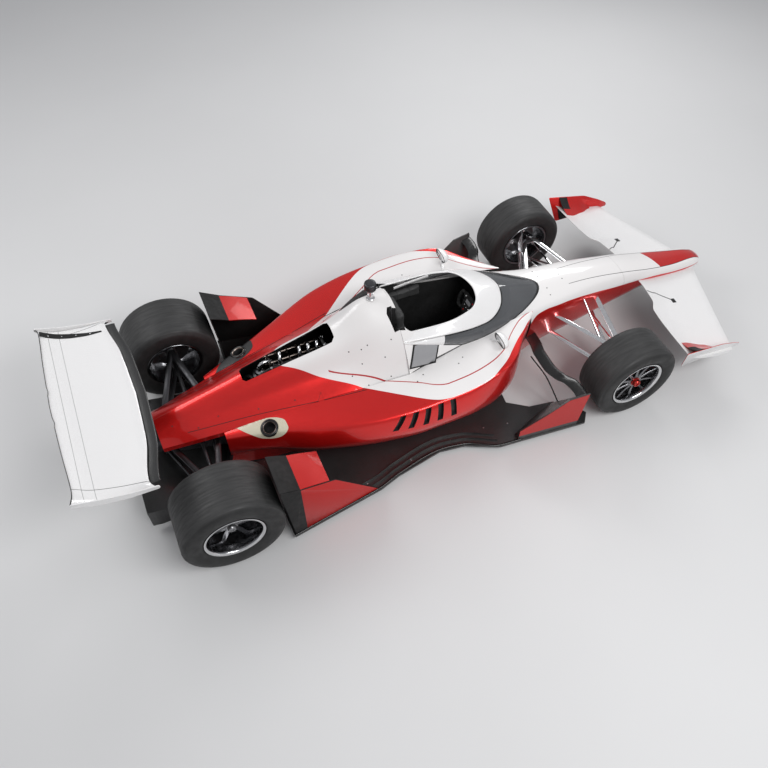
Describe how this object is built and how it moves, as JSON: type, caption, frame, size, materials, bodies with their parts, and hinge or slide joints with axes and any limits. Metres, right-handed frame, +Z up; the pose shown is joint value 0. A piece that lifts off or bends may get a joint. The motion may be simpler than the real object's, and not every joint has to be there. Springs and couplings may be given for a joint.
{
  "type": "open wheel racing car",
  "caption": "Single-seat open wheel racing car with front and rear wings, a wraparound cockpit screen, side pods, slick tyres and an engine open to view through a slot in its cover.",
  "frame": {"origin": "on the ground, midway along the length and on the centre plane", "axes": "+X forward, towards the nose; +Y to the left; +Z up"},
  "size_m": [5.1559, 1.96, 1.2],
  "materials": {
    "paint_white": "gloss",
    "paint_red": "metallic gloss",
    "carbon": "satin carbon fibre",
    "trim_black": "satin",
    "padding": "matte foam covered in black skin",
    "seat_shell": "moulded shell, satin",
    "engine_alloy": "dark cast alloy",
    "gearbox_alloy": "dark coated",
    "exhaust_steel": "heat-tinted steel",
    "bright_steel": "polished",
    "dark_steel": "dark coated",
    "hub_steel": "machined",
    "upright_alloy": "machined",
    "wheel_alloy": "dark polished",
    "radiator_core": "fine black fins",
    "screen": "smoked, clear",
    "tyre": "worn slick"
  },
  "bodies": {
    "chassis": {"camera_pod": "trim_black", "cockpit_surround": "padding", "engine_block": "engine_alloy", "engine_cover": "paint_red", "exhausts": "exhaust_steel", "floor": "carbon", "front_endplates": "paint_red", "front_suspension_left": "bright_steel", "front_suspension_right": "bright_steel", "front_wing": "paint_white", "gearbox": "gearbox_alloy", "mirrors": "paint_white", "monocoque": "paint_white", "nose_cone": "paint_white", "radiators": "radiator_core", "rear_endplates": "carbon", "rear_suspension_left": "dark_steel", "rear_suspension_right": "dark_steel", "rear_uprights": "upright_alloy", "rear_wing": "paint_white", "rear_wing_pylons": "carbon", "screen_frame": "paint_white", "screen_glass": "screen", "seat": "seat_shell", "sidepod_left": "paint_red", "sidepod_right": "paint_red", "turning_vanes": "carbon", "wheel_ramps": "paint_red"},
    "left_knuckle": {"knuckle_left": "upright_alloy"},
    "right_knuckle": {"knuckle_right": "upright_alloy"},
    "rack": {"steering_rack": "bright_steel"},
    "hand_wheel": {"steering_wheel": "trim_black"},
    "wheel_front_left": {"tyre_front_left": "tyre", "rim_front_left": "wheel_alloy", "hub_front_left": "hub_steel"},
    "wheel_front_right": {"tyre_front_right": "tyre", "rim_front_right": "wheel_alloy", "hub_front_right": "hub_steel"},
    "wheel_rear_left": {"tyre_rear_left": "tyre", "rim_rear_left": "wheel_alloy", "hub_rear_left": "hub_steel"},
    "wheel_rear_right": {"tyre_rear_right": "tyre", "rim_rear_right": "wheel_alloy", "hub_rear_right": "hub_steel"}
  },
  "joints": [
    {"name": "steer_left", "type": "hinge", "parent": "chassis", "child": "left_knuckle", "pos_m": [1.3075, 0.74, 0.328], "axis": [0, 0, 1], "range_deg": [-18, 18]},
    {"name": "steer_right", "type": "hinge", "parent": "chassis", "child": "right_knuckle", "pos_m": [1.3075, -0.74, 0.328], "axis": [0, 0, 1], "range_deg": [-18.5, 18.5]},
    {"name": "rack_slide", "type": "slide", "parent": "chassis", "child": "rack", "axis": [0, 1, 0], "range_m": [-0.04, 0.04]},
    {"name": "hand_wheel_turn", "type": "hinge", "parent": "chassis", "child": "hand_wheel", "pos_m": [0.36658, 0, 0.64024], "axis": [-0.9511, 0, 0.309], "range_deg": [-165, 165]},
    {"name": "spin_front_left", "type": "hinge", "parent": "left_knuckle", "child": "wheel_front_left", "pos_m": [1.3075, 0.825, 0.328], "axis": [0, 1, 0], "continuous": true},
    {"name": "spin_front_right", "type": "hinge", "parent": "right_knuckle", "child": "wheel_front_right", "pos_m": [1.3075, -0.825, 0.328], "axis": [0, 1, 0], "continuous": true},
    {"name": "spin_rear_left", "type": "hinge", "parent": "chassis", "child": "wheel_rear_left", "pos_m": [-1.7775, 0.78, 0.347], "axis": [0, 1, 0], "continuous": true},
    {"name": "spin_rear_right", "type": "hinge", "parent": "chassis", "child": "wheel_rear_right", "pos_m": [-1.7775, -0.78, 0.347], "axis": [0, 1, 0], "continuous": true}
  ],
  "couplings": [
    {"joint": "steer_right", "follows": "steer_left", "ratio": 1},
    {"joint": "rack_slide", "follows": "steer_left", "m_per_rad": 0.12},
    {"joint": "hand_wheel_turn", "follows": "steer_left", "ratio": 9}
  ]
}
